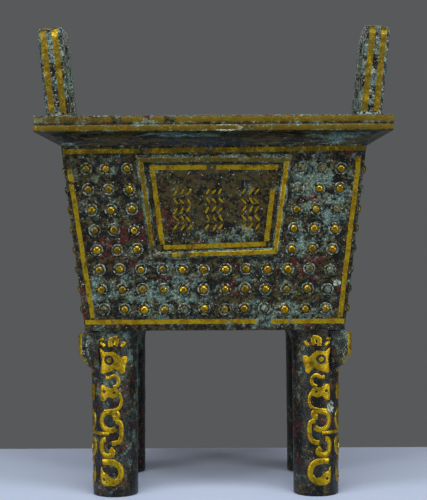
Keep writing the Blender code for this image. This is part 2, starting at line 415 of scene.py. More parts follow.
# %% Lay the patina and the gold
class Patina:
    """The layers of old bronze on one finish, with room to add gold on top."""

    def __init__(self, finish, green=0.0, red=0.0, chalk=0.0, olive=0.0, slate=0.0, seed=0.0,
                 stretch=(1, 1, 1)):
        f = finish
        self.finish = f
        self.coarse = f.noise(9.0, 3.0, 0.55, seed + 1, stretch)
        self.middling = f.noise(3.6, 4.0, 0.6, seed + 2, stretch)
        self.fine = f.noise(1.5, 3.0, 0.65, seed + 3, stretch)
        self.grit = f.noise(0.8, 2.0, 0.6, seed + 4)
        other = f.noise(1.3, 3.0, 0.65, seed + 5, stretch)
        stain = f.noise(7.0, 3.0, 0.6, seed + 6)
        slate_mask = f.rise(self.coarse * 0.6 + self.grit * 0.5 + slate, *SLATE_RANGE)
        olive_mask = f.rise(self.middling * 0.7 + other * 0.6 + olive, *OLIVE_RANGE)
        red_mask = f.rise(stain * 0.9 + other * 0.5 + red, *RED_RANGE)
        growth = self.coarse * 0.6 + self.middling * 0.5 + self.fine * 0.6 + green
        crust = f.rise(growth, *CRUST_RANGE)
        blue = f.rise(self.middling * 0.5 + other * 0.5, *BLUE_RANGE)
        mossy = f.rise(f.noise(6.0, 2.0, 0.5, seed + 7), *MOSS_RANGE)
        pale = f.rise(self.grit * 0.8 + growth * 0.5, *PALE_RANGE)
        specks = f.rise(self.grit * 0.9 + other * 0.6 + chalk, *SPECK_RANGE)
        colour = f.mix(slate_mask, BLACK_BRONZE, SLATE_BRONZE)
        colour = f.mix(olive_mask * COVER, colour, OLIVE_BRONZE)
        colour = f.mix(red_mask * COVER, colour, MAROON)
        crust_colour = f.mix(blue, DEEP_VERDIGRIS, BLUE_VERDIGRIS)
        crust_colour = f.mix(mossy * 0.6, crust_colour, MOSS)
        crust_colour = f.mix(pale, crust_colour, PALE_VERDIGRIS)
        colour = f.mix(crust * COVER, colour, crust_colour)
        self.colour = f.mix(specks * 0.8, colour, CHALK)
        self.height = crust * 0.09 + self.fine * 0.16 + self.grit * 0.14 + specks * 0.06
        self.roughness = BRONZE_ROUGHNESS + crust * 0.25 + (self.fine - 0.5) * 0.3
        self.metal = (1 - crust * 0.8) * (1 - specks) * BRONZE_METAL

    def add_chalk(self, mask):
        """Lay a chalky deposit where the mask says."""
        f = self.finish
        shown = f.rise(mask + (self.fine - 0.5) * 1.6 + (self.grit - 0.5) * 0.8, *CHALK_RANGE)
        chalk = f.mix(f.rise(self.middling, 0.42, 0.58), CHALK, PALE_VERDIGRIS)
        self.colour = f.mix(shown * COVER, self.colour, chalk)
        self.height = self.height + shown * 0.10
        self.metal = self.metal * (1 - shown)

    def add_gold(self, mask, wear=0.0, soil=0.0, amber=0.0, gloss=0.0):
        """Lay gold where the mask says, worn through and soiled by noise."""
        f = self.finish
        worn = f.rise(self.middling * 0.6 + self.grit * 0.5 + wear, *WEAR_RANGE)
        kept = mask * (1 - worn * 0.9)
        dirt = f.noise(5.0, 4.0, 0.6, 60.0) * 0.6 + self.fine * 0.5 + self.grit * 0.3
        dirt = f.rise(dirt + soil, *DIRT_RANGE)
        redder = f.rise(f.noise(3.4, 3.0, 0.6, 61.0) + amber, *AMBER_RANGE)
        gold = f.mix(redder * 0.7, GOLD, DEEP_GOLD)
        gold = f.mix(dirt * COVER, gold, SOILED_GOLD)
        gold_roughness = GOLD_ROUGHNESS - gloss + dirt * 0.16
        self.colour = f.mix(kept, self.colour, gold)
        self.height = self.height * (1 - kept * 0.7) + kept * 0.12
        self.roughness = self.roughness * (1 - kept) + kept * gold_roughness
        self.metal = self.metal * (1 - kept) + kept * GOLD_METAL

    def done(self, bump=0.9):
        """Connect the layers to the shader and return the material."""
        f = self.finish
        f.feed(f.shader.inputs["Base Color"], self.colour)
        f.feed(f.shader.inputs["Roughness"], self.roughness)
        f.feed(f.shader.inputs["Metallic"], self.metal)
        f.feed(f.shader.inputs["Specular IOR Level"], SHEEN)
        normal = f.node("ShaderNodeBump", {}, {
            "Strength": bump, "Distance": BUMP_DEPTH, "Height": self.height,
        })
        f.feed(f.shader.inputs["Normal"], normal)
        return f.material


def bronze_finish(name, **layers):
    """Return a finish of bronze with no gold."""
    return Patina(Finish(name), **layers).done()


def gilt_finish(name, wear, soil, amber=0.0, gloss=0.0, **layers):
    """Return gold all over, worn through to bronze in places."""
    patina = Patina(Finish(name), **layers)
    everywhere = patina.finish.rise(patina.finish.z, -2.0, -1.0)
    patina.add_gold(everywhere, wear, soil, amber, gloss)
    return patina.done()


print("layers of the patina ready")

# %% [markdown]
# The shell
#
# The body, neck and rim are one hollow box. A plane the size of the base is extruded level by
# level and resized each time: up the leaning wall, out along the hollow neck, round the flange
# and down the inside. The neck follows a quarter of an ellipse. A boolean of two boxes would
# give the wall but not the neck, so the section is drawn by extrusion.

# %% Extrude the shell
NECK_STEPS = 10
RIM_GROOVE_DEPTH = 0.35 * MM
RIM_GROOVE_HALF = 0.4 * MM
RIM_GROOVE_BELOW_TOP = 4.8 * MM


def shell_levels():
    """Return (swell past the body's top, height) up the outside and down the inside."""
    swell = RIM_OVERHANG - RIM_LIP
    groove = RIM_TOP - RIM_GROOVE_BELOW_TOP
    levels = []
    for step in range(NECK_STEPS + 1):
        turn = math.pi / 2 * step / NECK_STEPS
        levels.append((swell * (1 - math.cos(turn)), BODY_TOP + NECK_HEIGHT * math.sin(turn)))
    levels += [
        (RIM_OVERHANG, RIM_BOTTOM),
        (RIM_OVERHANG, groove - RIM_GROOVE_HALF),
        (RIM_OVERHANG - RIM_GROOVE_DEPTH, groove - RIM_GROOVE_HALF / 2),
        (RIM_OVERHANG - RIM_GROOVE_DEPTH, groove + RIM_GROOVE_HALF / 2),
        (RIM_OVERHANG, groove + RIM_GROOVE_HALF),
        (RIM_OVERHANG, RIM_TOP),
        (-WALL, RIM_TOP),
        (-WALL, BODY_TOP),
        (-WALL - (BODY_HEIGHT - FLOOR) * LEAN, LEG_LENGTH + FLOOR),
    ]
    return levels


def extrude_shell():
    """Extrude a base plane through every level of the section."""
    extruded = unit_form("plane")
    extruded.name = "cauldron"
    edit(extruded)
    size = Vector((BODY_LENGTH - 2 * BATTER, BODY_DEPTH - 2 * BATTER))
    bpy.ops.transform.resize(value=(size.x, size.y, 1))
    bpy.ops.transform.translate(value=(0, 0, LEG_LENGTH))
    height = LEG_LENGTH
    for swell, level in shell_levels():
        new_size = Vector((BODY_LENGTH + 2 * swell, BODY_DEPTH + 2 * swell))
        extrude_up(level - height)
        bpy.ops.transform.resize(
            value=(new_size.x / size.x, new_size.y / size.y, 1), center_override=(0, 0, level)
        )
        size = new_size
        height = level
    to_object_mode()
    face_outwards(extruded)
    return extruded


shell = extrude_shell()
print("shell faces:", len(shell.data.polygons))

# %% [markdown]
# Soft edges and a cast skin
#
# No cast edge is razor sharp, so a bevel softens each one by less than a millimetre. Old bronze
# is never quite flat either: it swells where corrosion has grown and dips where it was ground.
# The shell is cut into a fine grid by bisecting it, and its points are moved a fifth of a
# millimetre or so along their normals by a fractal noise.

# %% Soften and roughen the shell
EDGE_ROUNDING = 0.8 * MM
GRID = 2.2 * MM
KEPT_ON_RIM = 0.35
KEPT_ON_BASE = 0.3

# How far a skin's points move, the size of its lumps, and where in the noise it starts
SHELL_SKIN = (0.24 * MM, 6 * MM, 3.0)


def calmer_at_rim(point):
    """Return how much of the roughness a point keeps: less on the level rim and the base."""
    if point.z > RIM_BOTTOM - 1 * MM:
        return KEPT_ON_RIM
    return KEPT_ON_BASE if point.z < LEG_LENGTH + 0.5 * MM else 1.0


soften_edges(shell, EDGE_ROUNDING, 2, 50)
bisect_grid(shell, [
    (0, -HALF_LENGTH, HALF_LENGTH, GRID),
    (1, -HALF_DEPTH, HALF_DEPTH, GRID),
    (2, LEG_LENGTH + 1 * MM, BODY_TOP - 1 * MM, GRID),
])
roughen(shell, *SHELL_SKIN, calmer_at_rim)
print("shell faces after the grid:", len(shell.data.polygons))

# %% [markdown]
# Where the tablets are
#
# Every wall has a framed tablet near its top. Both the raised frame and the gold inside it
# follow the tablet's edge, so its sizes come before either.

# %% Sizes of the tablets
TABLET_TOP = 83.5 * MM
TABLET_FOOT = 69.6 * MM
END_TABLET_TOP = 58.3 * MM
END_TABLET_FOOT = 44.6 * MM
TABLET_HEIGHT = 55.4 * MM
TABLET_DROP = 3.9 * MM
FRONT_FOOT_SLANT = math.radians(1.6)

# Each wall as (quarter turn, half length at the top, tablet's top, tablet's foot)
WALLS = (
    (0, HALF_LENGTH, TABLET_TOP, TABLET_FOOT),
    (1, HALF_DEPTH, END_TABLET_TOP, END_TABLET_FOOT),
    (2, HALF_LENGTH, TABLET_TOP, TABLET_FOOT),
    (3, HALF_DEPTH, END_TABLET_TOP, END_TABLET_FOOT),
)
SIDE_NAMES = ("front", "right", "back", "left")


def tablet_distances(f, across, level, quarter, top, foot):
    """Return the distances in millimetres inside the tablet's side, top and foot edges."""
    high = (BODY_TOP - TABLET_DROP * math.cos(SLOPE)) / MM
    low = high - TABLET_HEIGHT * math.cos(SLOPE) / MM
    lean = (top - foot) / 2 / TABLET_HEIGHT
    edge = (f.z - high) * lean + top / 2 / MM
    from_foot = level - low
    if quarter == 0:
        from_foot = from_foot - across * math.tan(FRONT_FOOT_SLANT)
    return edge - abs(across), high - level, from_foot


print("tablet's height in mm:", TABLET_HEIGHT / MM)

# %% [markdown]
# Gold bands on the walls
#
# On the walls the gold is flush, so it is colour and not relief. A band runs along the top of
# each wall and along its foot, one runs down beside each corner, and four lie inside the tablet's
# frame. Each band is a mask on the distance from an edge that leans with the wall. The front has
# its own losses, at the places where its gold has gone, and its own patches of verdigris and
# red. The top bands climb a little to the right, and the front's left one drifts inwards as it
# goes down.

# %% Where the gold and the patches are on the walls
TOP_BAND = (185.6, 188.0)
FOOT_BAND = (94.1, 96.5)
SIDE_BAND = (2.1, 4.5)
SIDE_BAND_TOP = 182.5
SIDE_BAND_FOOT = FOOT_BAND[1] + 1.2
TOP_BAND_CLIMB = 0.0068
LEFT_BAND_DRIFT = 0.029
LEFT_BAND_PIVOT = 160.0
TABLET_BAND_SIDE = (6.9, 9.4)
TABLET_BAND_TOP = (5.5, 8.0)
TABLET_BAND_FOOT = (5.6, 7.9)
TABLET_RIGHT_BAND_END = (164.0, 166.5)
TABLET_FOOT_BAND_SPAN = (-27.0, 28.6)

# Where the front's gold is lost, as (low, high, softness, share), along X and then up Z
TOP_BAND_LOSSES = ((-41.0, -34.0, 1.5, 0.8), (-4.2, 1.0, 1.0, 0.8))
FOOT_BAND_LOSSES = (
    (22.3, 30.5, 0.8, 1.0), (39.3, 42.0, 0.6, 0.7), (6.0, 10.0, 0.8, 0.6), (-55.8, -54.6, 0.3, 0.7),
)
TABLET_BAND_LOSSES = ((-3.9, 1.4, 0.5, 1.0), (-26.0, -23.6, 0.4, 0.5))
LEFT_BAND_LOSSES = ((169.0, 170.8, 0.4, 1.0), (176.5, 200.0, 0.5, 1.0))

# Patches on the front wall as (x, z, radius in x, radius in z), in millimetres
GREEN_PATCHES = (
    (58, 164, 15, 20), (-26, 112, 24, 17), (37, 99, 27, 8), (9, 142, 19, 5.5), (16, 166, 4, 5),
    (-60, 112, 9, 12), (50, 140, 12, 10),
)
RED_PATCHES = (
    (-46, 142, 15, 11), (-23, 119, 12, 4.5), (11, 114, 7, 5.5), (54, 120, 10, 4), (57, 161, 8, 4),
    (-70, 104, 3.5, 18), (48, 128, 12, 3.5), (-27, 150, 5, 6), (33, 160, 4, 10),
)
CHALK_PATCHES = ((65.6, 116, 2.4, 2.2),)
TABLET_PATCHES = ((0, 164, 34, 21),)
LOSS_ON_OTHER_WALLS = 0.85
print("patches on the front wall:", len(GREEN_PATCHES) + len(RED_PATCHES))

# %% Finish of the walls
def wall_gold(f, wall, across, nibble):
    """Return the mask of a wall's gold bands, whose edges are nibbled by a noise."""
    quarter, half_top, tablet_top, tablet_foot = wall
    level = f.z + nibble
    edge = (f.z - BODY_TOP / MM) * LEAN + half_top / MM
    inward = edge - abs(across) + nibble
    inside = f.rise(edge - abs(across), 0.6, 1.0)
    if quarter == 0:
        on_left = 1 - f.rise(f.x, -1.0, 1.0)
        inward = inward - on_left * (LEFT_BAND_PIVOT - f.z) * LEFT_BAND_DRIFT
    top = f.band(level - f.x * TOP_BAND_CLIMB, *TOP_BAND) * inside
    foot = f.band(level, *FOOT_BAND) * inside
    side = f.band(inward, *SIDE_BAND) * f.band(f.z, SIDE_BAND_FOOT, SIDE_BAND_TOP, 0.4)
    from_side, from_top, from_foot = tablet_distances(
        f, across, level, quarter, tablet_top, tablet_foot
    )
    from_side = from_side + nibble
    within = f.rise(from_side, TABLET_BAND_SIDE[0] - 0.2, TABLET_BAND_SIDE[0] + 0.2)
    above = f.band(from_top, *TABLET_BAND_TOP) * within
    below = f.band(from_foot, *TABLET_BAND_FOOT) * f.rise(from_side, 8.2, 8.8)
    beside = f.band(from_side, *TABLET_BAND_SIDE)
    beside = beside * f.rise(from_top, 8.2, 8.8) * f.rise(from_foot, 8.0, 8.6)
    if quarter == 0:
        top = top * (1 - f.losses(f.x, TOP_BAND_LOSSES))
        foot = foot * (1 - f.losses(f.x, FOOT_BAND_LOSSES))
        side = side * (1 - on_left * f.losses(f.z, LEFT_BAND_LOSSES))
        above = above * (1 - f.losses(f.x, TABLET_BAND_LOSSES))
        below = below * f.band(f.x, *TABLET_FOOT_BAND_SPAN, 0.4)
        beside = beside * (1 - (1 - on_left) * f.rise(f.z, *TABLET_RIGHT_BAND_END))
    return f.most(top, foot, side, above, beside, below)


def wall_patina(f, quarter, seed):
    """Return a wall's patina: in measured patches on the front, and even elsewhere."""
    if quarter > 0:
        return Patina(f, green=0.02, red=0.02, seed=seed)
    green = f.blobs(f.x, f.z, GREEN_PATCHES) * 0.11 - 0.025
    red = f.blobs(f.x, f.z, RED_PATCHES) * 0.15 - 0.02
    tablet = f.blobs(f.x, f.z, TABLET_PATCHES)
    patina = Patina(f, green=green - tablet * 0.10, red=red, olive=tablet * 0.03, seed=seed)
    patina.add_chalk(f.blobs(f.x, f.z, CHALK_PATCHES) * 0.7)
    return patina


def wall_finish(wall):
    """Return the finish of one wall, with its gold bands."""
    quarter = wall[0]
    seed = 100.0 + 9 * quarter
    f = Finish(SIDE_NAMES[quarter] + "_wall")
    patina = wall_patina(f, quarter, seed)
    nibble = (f.noise(8.0, 2.0, 0.5, seed + 30) - 0.5) * 0.8 + (patina.grit - 0.5) * 0.7
    gold = wall_gold(f, wall, f.x if quarter % 2 == 0 else f.y, nibble)
    if quarter > 0:
        lost = f.rise(f.noise(14.0, 2.0, 0.5, seed + 33), 0.50, 0.56)
        gold = gold * (1 - lost * LOSS_ON_OTHER_WALLS)
    # The gold is made duller towards the wall's top, under the rim, and brighter along its foot.
    soil = f.rise(f.z, 176.0, 184.0) * 0.12 - f.rise(f.z * -1.0, -99.0, -97.0) * 0.10
    patina.add_gold(gold, wear=-0.05, soil=soil)
    return patina.done()


wall_finishes = [wall_finish(wall) for wall in WALLS]
print("walls finished:", [metal.name for metal in wall_finishes])

# %% [markdown]
# Rim, neck and inside
#
# Two gold bands run round the edge of the rim, above and below its groove, and soil has dulled
# them more towards the right and along the top. The neck is the smoothest and greyest part of
# the bronze, rubbed along its length, so its noise is stretched along the wall. Inside, where no
# one polished, it is dull and earthy.

# %% Finish of the rim, neck and inside
UPPER_RIM_BAND = (RIM_TOP / MM - 3.6, RIM_TOP / MM - 0.8)
LOWER_RIM_BAND = (RIM_BOTTOM / MM + 0.5, RIM_BOTTOM / MM + 2.9)
UPPER_RIM_LOSSES = (
    (-120.0, -57.0, 3.0, 0.6), (-53.0, -47.0, 1.0, 1.0), (-36.0, -32.3, 1.0, 1.0),
    (-25.5, -19.5, 1.0, 1.0),
)
LOWER_RIM_LOSSES = ((13.0, 21.0, 2.0, 0.5),)
NECK_GREEN = ((55, 191, 12, 6), (-78, 191, 6, 6), (-20, 194.5, 30, 1.6), (70, 194.5, 14, 1.6))


def rim_finish():
    """Return the rim's finish, gilt on its upright edge only."""
    f = Finish("rim")
    patina = Patina(f, green=0.02, olive=0.06, chalk=-0.04, seed=140.0)
    nibble = (patina.grit - 0.5) * 1.8
    facing = f.parts(f.node("ShaderNodeNewGeometry", {}, {}, "Normal"))
    upright = 1 - f.rise(abs(facing[2]), 0.3, 0.5)
    outside = f.most(
        f.rise(abs(f.x), RIM_END / MM - 1.2, RIM_END / MM - 0.8),
        f.rise(abs(f.y), RIM_FRONT / MM - 1.2, RIM_FRONT / MM - 0.8),
    )
    front = f.rise(f.y * -1.0, 60.0, 64.0)
    upper = f.band(f.z + nibble, *UPPER_RIM_BAND) * (1 - f.losses(f.x, UPPER_RIM_LOSSES) * front)
    lower = f.band(f.z + nibble, *LOWER_RIM_BAND) * (1 - f.losses(f.x, LOWER_RIM_LOSSES) * front)
    # A pale line laid as chalk along the rim's top edge is a painted highlight on its bevel.
    patina.add_chalk(f.band(f.z, RIM_TOP / MM - 0.7, RIM_TOP / MM - 0.3, 0.15) * outside * 0.4)
    patina.add_chalk(f.blob(f.x, f.z, (7, 197.5), (9, 1.8)) * front)
    soil = f.rise(f.x, -30.0, 50.0) * 0.05 + f.rise(f.z, 199.5, 200.5) * 0.06 + 0.18
    patina.add_gold(f.most(upper, lower) * upright * outside, wear=0.02, soil=soil)
    return patina.done()


def neck_finish():
    """Return the neck's finish: smooth slate-grey bronze, streaked along the walls."""
    f = Finish("neck")
    green = f.blobs(f.x, f.z, NECK_GREEN) * 0.20 - 0.08
    patina = Patina(
        f, green=green, red=-0.10, olive=0.03, slate=0.08, seed=150.0, stretch=(0.25, 0.25, 1.2)
    )
    return patina.done(bump=0.55)


rim_metal = rim_finish()
neck_metal = neck_finish()
inside_metal = bronze_finish("inside", green=0.05, chalk=0.02, olive=0.04, seed=160.0)
base_metal = bronze_finish("base", green=0.03, seed=170.0)
print("rim, neck, inside and base finished")

# %% [markdown]
# Giving the shell its finishes
#
# One mesh carries eight finishes. Which one a face takes follows from its height and from which
# wall's plane it is nearest to.

# %% Finish the shell
SHELL_PARTS = (*SIDE_NAMES, "rim", "neck", "inside", "base")


def shell_part(x, y, z):
    """Return which part of the shell a face belongs to, by its centre."""
    inset = WALL - 0.4 * MM + max(BODY_TOP - z, 0) * LEAN
    if z < LEG_LENGTH + 0.3 * MM:
        return "base"
    if abs(x) < HALF_LENGTH - inset and abs(y) < HALF_DEPTH - inset:
        return "inside"
    if z > RIM_BOTTOM - 0.3 * MM:
        return "rim"
    if z > BODY_TOP + 0.9 * MM:
        return "neck"
    if abs(y) - HALF_DEPTH > abs(x) - HALF_LENGTH:
        return "front" if y < 0 else "back"
    return "right" if x > 0 else "left"


for metal in [*wall_finishes, rim_metal, neck_metal, inside_metal, base_metal]:
    shell.data.materials.append(metal)
for face in shell.data.polygons:
    face.material_index = SHELL_PARTS.index(shell_part(*face.center))
smooth_by_angle(shell, 40)
print("shell slots:", [metal.name for metal in shell.data.materials])

# %% [markdown]
# Bosses
#
# Each boss is a low round stud: a chalky collar, a narrow dip inside it, and a domed button whose
# top was gilded. The collar's pale chalk is also a painted highlight along its top. One boss is
# modelled from a circle by extruding and resizing it level by level. Then it is copied to every
# place on the four walls, with a little unevenness from a seeded random source, because each stud
# in the mould was pressed by hand. The gold reaches further down some buttons than others, and
# has dulled or gone from a few.

# %% Finishes of a boss
def collar_chalk_and_highlight_finish():
    """Return the finish of the collars: chalk broken into short arcs, also a painted highlight on
    their tops.
    """
    f = Finish("boss_collar_chalk_and_highlight")
    patina = Patina(f, green=0.10, red=-0.1, seed=205.0)
    # Chalk over the whole collar, pale enough to be a painted highlight on it as well.
    patina.add_chalk(f.rise(f.z, -2.0, -1.0) * 0.56)
    return patina.done()


boss_bronze = bronze_finish("boss_bronze", green=0.0, seed=200.0)
boss_collar_chalk_and_highlight = collar_chalk_and_highlight_finish()
boss_gold = gilt_finish("boss_gold", 0.05, 0.06, amber=0.08, gloss=0.16, seed=210.0)
boss_faded = gilt_finish("boss_faded_gold", 0.11, 0.14, amber=0.05, gloss=0.12, seed=220.0)
boss_bare = gilt_finish("boss_bare", 0.25, 0.10, green=0.10, chalk=0.03, seed=225.0)
BOSS_METALS = (boss_bronze, boss_collar_chalk_and_highlight, boss_gold, boss_faded, boss_bare)
BRONZE, COLLAR, GILT, FADED, BARE = range(len(BOSS_METALS))
print("boss finishes:", [metal.name for metal in BOSS_METALS])

# %% Model one boss
BOSS_SEGMENTS = 12
BOSS_SINK = 0.6 * MM
BOSS_BASE_RADIUS = 3.35 * MM

# Levels up the boss as (radius, height) in millimetres
BOSS_PROFILE = ((3.40, 0.50), (3.12, 0.95), (2.46, 0.50), (2.25, 1.25), (1.85, 2.15), (0.90, 2.50))
GILT_ABOVE = (1.20 * MM, 1.85 * MM)
COLLAR_ABOVE = 0.55 * MM
COLLAR_INSIDE = 2.60 * MM


def model_boss():
    """Model one boss on the ground plane, its collar a little below it."""
    to_object_mode()
    bpy.ops.mesh.primitive_circle_add(
        vertices=BOSS_SEGMENTS, radius=BOSS_BASE_RADIUS, fill_type="NGON", location=(0, 0, -BOSS_SINK)
    )
    stud = bpy.context.object
    make_active(stud)
    bpy.ops.object.transform_apply(location=True, rotation=True, scale=True)
    edit(stud)
    height = -BOSS_SINK
    radius = BOSS_BASE_RADIUS
    for new_radius, level in BOSS_PROFILE:
        share = new_radius * MM / radius
        extrude_up(level * MM - height)
        bpy.ops.transform.resize(value=(share, share, 1), center_override=(0, 0, level * MM))
        radius = new_radius * MM
        height = level * MM
    to_object_mode()
    face_outwards(stud)
    for metal in BOSS_METALS:
        stud.data.materials.append(metal)
    return stud


def boss_slot(face, gilding, gilt_above):
    """Return the slot of the finish for a face of a boss."""
    if face.center.z > gilt_above:
        return gilding
    on_collar = face.center.xy.length > COLLAR_INSIDE and face.center.z > COLLAR_ABOVE
    return COLLAR if on_collar else BRONZE


boss = model_boss()
print("faces of one boss:", len(boss.data.polygons))

# %% Places of the bosses
BOSS_PITCH = 10.8 * MM
BOSS_SIDE_MARGIN = 11.8 * MM
BOSS_TOP_MARGIN = 11.3 * MM
BOSS_FOOT_MARGIN = 11.6 * MM
FRAME_TO_BOSS = 0.5 * MM
BOSS_REACH = 3.1 * MM
TABLET_LOW = SLANT - TABLET_DROP - TABLET_HEIGHT

# Bosses of the front wall that have lost their gold or kept little of it, as (row, column)
BARE_BOSSES = {(0, 3), (0, 4), (1, 3), (2, 5), (5, 10), (5, 11), (6, 11), (7, 0), (7, 4), (7, 8)}
FADED_BOSSES = {(0, 0), (1, 0), (2, 2), (3, 0), (5, 3), (6, 2), (6, 9), (6, 10), (7, 3)}


def half_width_at(half_top, up):
    """Return half a wall's width at a distance up its slope."""
    return half_top - BATTER * (1 - up / SLANT)


def spread(first, last, count):
    """Return evenly spaced places from first to last."""
    step = (last - first) / max(count - 1, 1)
    return [first + step * index for index in range(count)]


def boss_places(half_top, tablet_top):
    """Return (row, column, along, up) of each boss on one wall, row 0 at the top."""
    lowest = BOSS_FOOT_MARGIN
    highest = SLANT - BOSS_TOP_MARGIN
    rows = round((highest - lowest) / BOSS_PITCH) + 1
    columns = round(2 * (half_width_at(half_top, lowest) - BOSS_SIDE_MARGIN) / BOSS_PITCH) + 1
    beside = half_width_at(half_top, highest) - BOSS_SIDE_MARGIN - tablet_top / 2
    beside_columns = int((beside - BOSS_REACH - FRAME_TO_BOSS) / BOSS_PITCH) + 1
    places = []
    for row, up in enumerate(spread(highest, lowest, rows)):
        edge = half_width_at(half_top, up) - BOSS_SIDE_MARGIN
        if up + BOSS_REACH + FRAME_TO_BOSS < TABLET_LOW:
            row_places = spread(-edge, edge, columns)
        else:
            left = [index * BOSS_PITCH - edge for index in range(beside_columns)]
            row_places = left + [-along for along in reversed(left)]
        places += [(row, column, along, up) for column, along in enumerate(row_places)]
    return places


print("bosses on the front wall:", len(boss_places(HALF_LENGTH, TABLET_TOP)))

# %% Copy the bosses over the walls
BOSS_SHIFT = 0.35 * MM
BOSS_TILT = 0.07
GILT_CHANCE = 0.6
GILT_OR_FADED_CHANCE = 0.8


def gilding_of(quarter, place, dice):
    """Return the slot of a boss's gilding: as noted on the front, and by chance elsewhere."""
    chance = dice.random()
    if quarter > 0:
        return GILT if chance < GILT_CHANCE else FADED if chance < GILT_OR_FADED_CHANCE else BARE
    return BARE if place in BARE_BOSSES else FADED if place in FADED_BOSSES else GILT


def lay_bosses(quarter, half_top, tablet_top, dice):
    """Copy the boss over one wall and join the copies into one piece."""
    copies = []
    for row, column, along, up in boss_places(half_top, tablet_top):
        stud = copy_of(boss)
        gilding = gilding_of(quarter, (row, column), dice)
        gilt_above = dice.choice(GILT_ABOVE)
        for face in stud.data.polygons:
            face.material_index = boss_slot(face, gilding, gilt_above)
        along += dice.uniform(-BOSS_SHIFT, BOSS_SHIFT)
        up += dice.uniform(-BOSS_SHIFT, BOSS_SHIFT)
        width = dice.uniform(0.95, 1.05)
        length = width * dice.uniform(0.96, 1.04)
        size = Matrix.Diagonal((width, length, dice.uniform(0.86, 1.0), 1))
        turn = Matrix.Rotation(dice.uniform(0, math.pi), 4, "Z")
        lean = Matrix.Rotation(dice.uniform(-BOSS_TILT, BOSS_TILT), 4, "X")
        place = wall_frame(quarter) @ Matrix.Translation((along, up, 0))
        stud.data.transform(place @ lean @ size @ turn)
        copies.append(stud)
    return join(SIDE_NAMES[quarter] + "_bosses", copies)


dice = random.Random(11)
bosses = [lay_bosses(quarter, half, top, dice) for quarter, half, top, _ in WALLS]
bpy.data.objects.remove(boss)
for piece in bosses:
    smooth_by_angle(piece, 60)
print("bosses' faces per wall:", [len(piece.data.polygons) for piece in bosses])

# %% [markdown]
# Tablet frames
#
# A raised moulding frames a flat tablet on each wall. It could be swept along a path, but a
# picture frame is quicker by insetting: a plane the size of the tablet is narrowed at its foot,
# and each inset moves in by a named width and up or down by a named depth. On the front the
# frame's foot slants a little.

# %% Finishes of the frames
CREST_END = 4.0


def front_crest_finish():
    """Return the front frame's crest: bright on the right, dim on the left and worn elsewhere."""
    f = Finish("front_frame_gold")
    patina = Patina(f, green=0.02, olive=0.10, red=0.06, seed=245.0)
    from_side, from_top, from_foot = tablet_distances(f, f.x, f.z, 0, TABLET_TOP, TABLET_FOOT)
    on_top = 1 - f.rise(from_top, CREST_END - 0.4, CREST_END + 0.4)
    on_foot = 1 - f.rise(from_foot, CREST_END - 0.4, CREST_END + 0.4)
    on_foot = on_foot * f.rise(from_side, CREST_END - 0.4, CREST_END + 0.4)
    on_left = (1 - f.rise(f.x, -28.0, -26.0)) * (1 - on_foot)
    gone = on_foot * (1 - f.most(f.band(f.x, -22.5, -18.0, 0.5), f.band(f.x, -13.0, 35.5, 0.8)))
    gone = f.most(gone, on_left * (1 - f.rise(from_foot, 7.4, 8.6)))
    dim = f.most(on_top * 0.11, on_left * 0.08)
    patina.add_gold(1 - f.most(gone, on_top * 0.35), wear=dim - 0.05, soil=dim * 2.0 - 0.02)
    return patina.done()


frame_bronze = bronze_finish("frame_bronze", green=0.10, olive=0.02, chalk=0.02, seed=230.0)
frame_gold = gilt_finish("frame_gold", 0.02, 0.10, seed=240.0)
front_frame_gold = front_crest_finish()
print("frame finishes ready")

# %% Inset the tablet frames
FRAME_FLANK = 1.8 * MM
FRAME_CREST = 2.0 * MM
FRAME_INNER_FLANK = 1.2 * MM
FRAME_RELIEF = 1.5 * MM
FRAME_EDGE_RELIEF = 0.4 * MM
FRAME_SINK = 0.7 * MM
FRAME_ROUNDING = 0.35 * MM
FRAME_GRID = 1.6 * MM
FRAME_SKIN = (0.22 * MM, 4 * MM)


def tablet_corner(x, y, top, foot, slant):
    """Return the tablet's corner on its wall for a corner of a unit plane."""
    if y > 0:
        return Vector((math.copysign(top / 2, x), TABLET_LOW + TABLET_HEIGHT, -FRAME_SINK))
    across = math.copysign(foot / 2, x)
    return Vector((across, TABLET_LOW + across * math.tan(slant), -FRAME_SINK))


def is_underside(face):
    """Say whether a face is the flat underside that the frame's plane started from."""
    return len(face.verts) == 4 and face.calc_center_median().z < 0.1 * MM - FRAME_SINK


